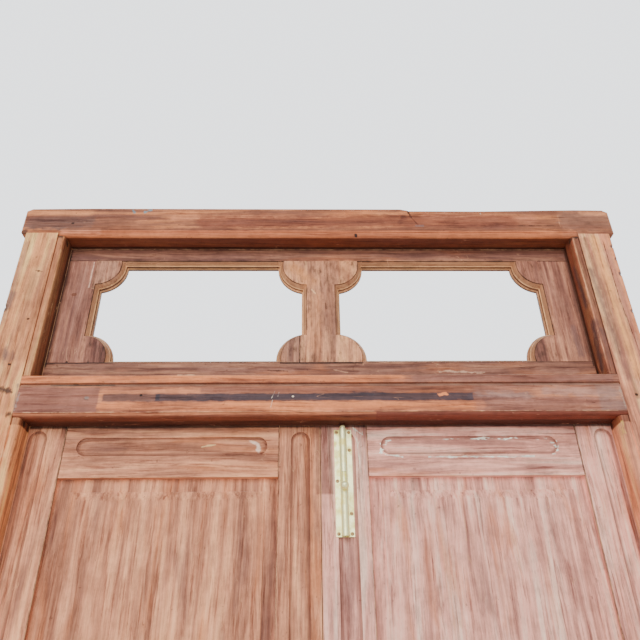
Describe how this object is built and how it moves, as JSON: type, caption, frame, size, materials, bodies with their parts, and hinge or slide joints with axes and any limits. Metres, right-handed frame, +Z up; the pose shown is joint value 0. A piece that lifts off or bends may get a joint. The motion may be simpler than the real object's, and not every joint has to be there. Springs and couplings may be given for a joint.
{
  "type": "carved double door with frame and pierced fanlight",
  "caption": "Traditional carved hardwood double door: moulded frame, pierced fanlight with lobed corners, two pivot-hung panelled leaves and a brass tower bolt.",
  "frame": {"origin": "on the floor under the threshold, midway across the frame and midway through its thickness", "axes": "+Z up, +X across the door to the right as seen from its moulded front, +Y from the front to the back"},
  "size_m": [1.32, 0.115, 2.13],
  "materials": {
    "lintel_wood": "aged, rubbed, satin",
    "jamb_wood": "aged, rubbed, satin",
    "rail_wood": "aged, rubbed, stained",
    "fanlight_wood": "aged, satin",
    "leaf_wood": "dusty, dull",
    "panel_wood": "dusty, dull",
    "nail_iron": "rusty",
    "bolt_brass": "polished, slightly dull"
  },
  "bodies": {
    "frame": {"fanlight_bottom_rail": "fanlight_wood", "fanlight_corner_block": "fanlight_wood", "fanlight_left_stile": "fanlight_wood", "fanlight_mullion": "fanlight_wood", "fanlight_mullion_block": "fanlight_wood", "fanlight_nails": "nail_iron", "fanlight_pegs": "fanlight_wood", "fanlight_right_stile": "fanlight_wood", "fanlight_top_rail": "fanlight_wood", "frame_pegs": "jamb_wood", "lintel": "lintel_wood", "threshold": "jamb_wood", "transom_rail": "rail_wood", "left_jamb": "jamb_wood", "right_jamb": "jamb_wood"},
    "left_leaf": {"left_bottom_rail": "leaf_wood", "left_hinge_stile": "leaf_wood", "left_lock_rail": "leaf_wood", "left_lower_panel": "panel_wood", "left_meeting_stile": "leaf_wood", "left_pegs": "leaf_wood", "left_top_rail": "leaf_wood", "left_upper_panel": "panel_wood"},
    "right_leaf": {"right_bottom_rail": "leaf_wood", "right_hinge_stile": "leaf_wood", "right_lock_rail": "leaf_wood", "right_lower_panel": "panel_wood", "right_meeting_stile": "leaf_wood", "right_pegs": "leaf_wood", "right_top_rail": "leaf_wood", "right_upper_panel": "panel_wood", "bolt_plate": "bolt_brass", "bolt_screws": "bolt_brass"},
    "bolt": {"bolt_rod": "bolt_brass"}
  },
  "joints": [
    {"name": "left_leaf_swing", "type": "hinge", "parent": "frame", "child": "left_leaf", "pos_m": [-0.573, 0.0075, 0.05], "axis": [0, 0, 1], "range_deg": [0, 90]},
    {"name": "right_leaf_swing", "type": "hinge", "parent": "frame", "child": "right_leaf", "pos_m": [0.573, 0.0075, 0.05], "axis": [0, 0, -1], "range_deg": [0, 90]},
    {"name": "bolt_slide", "type": "slide", "parent": "right_leaf", "child": "bolt", "axis": [0, 0, 1], "range_m": [0, 0.025]}
  ]
}
